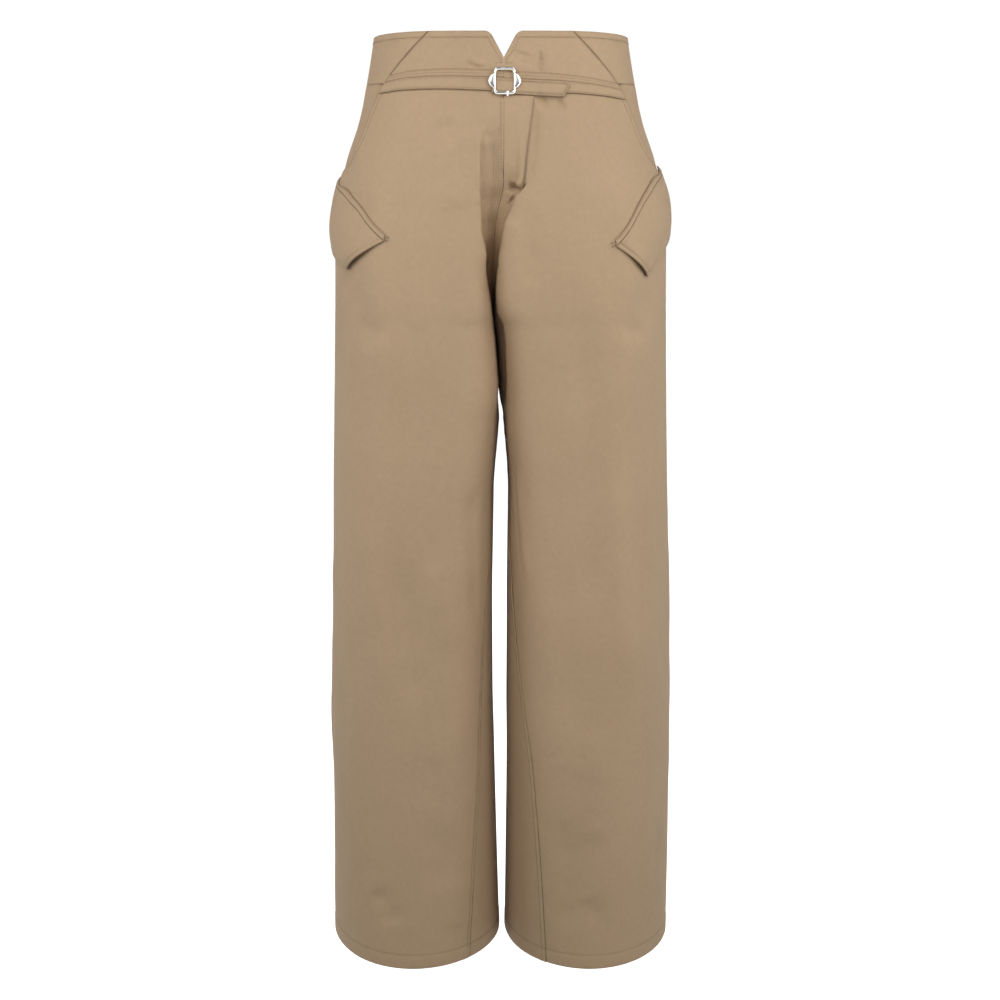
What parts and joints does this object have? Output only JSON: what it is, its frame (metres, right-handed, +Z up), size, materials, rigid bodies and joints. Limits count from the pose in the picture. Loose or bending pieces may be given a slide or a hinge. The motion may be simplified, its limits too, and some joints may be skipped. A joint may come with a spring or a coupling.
{
  "type": "barrel leg trousers",
  "caption": "High-waisted barrel leg trousers in beige twill, filled out as worn, with a notched waist, buckled belt band, slant pockets and diagonal hip flaps.",
  "frame": {"origin": "centre of the waist at belt height, where the wearer holds the trousers up", "axes": "+Z up along the body, -Y to the front, +X to the wearer's left"},
  "size_m": [0.3772, 0.262, 0.99],
  "materials": {
    "twill": "fine beige cotton twill with a soft sheen",
    "buckle": "polished silver-coloured metal"
  },
  "bodies": {
    "root": {"leg_front_right": "twill", "leg_front_left": "twill", "leg_back_right": "twill", "leg_back_left": "twill", "pocket_facing_right": "twill", "pocket_facing_left": "twill", "yoke_front_right": "twill", "yoke_front_left": "twill", "waist_side_right": "twill", "waist_side_left": "twill", "waist_back_right": "twill", "waist_back_left": "twill", "belt_band_right": "twill", "belt_band_left": "twill", "belt_strap": "twill", "fly_lap": "twill", "pocket_welt_right": "twill", "pocket_welt_left": "twill", "pocket_flap_right": "twill", "pocket_flap_left": "twill", "buckle_frame": "buckle", "buckle_tongue": "buckle"}
  },
  "joints": []
}
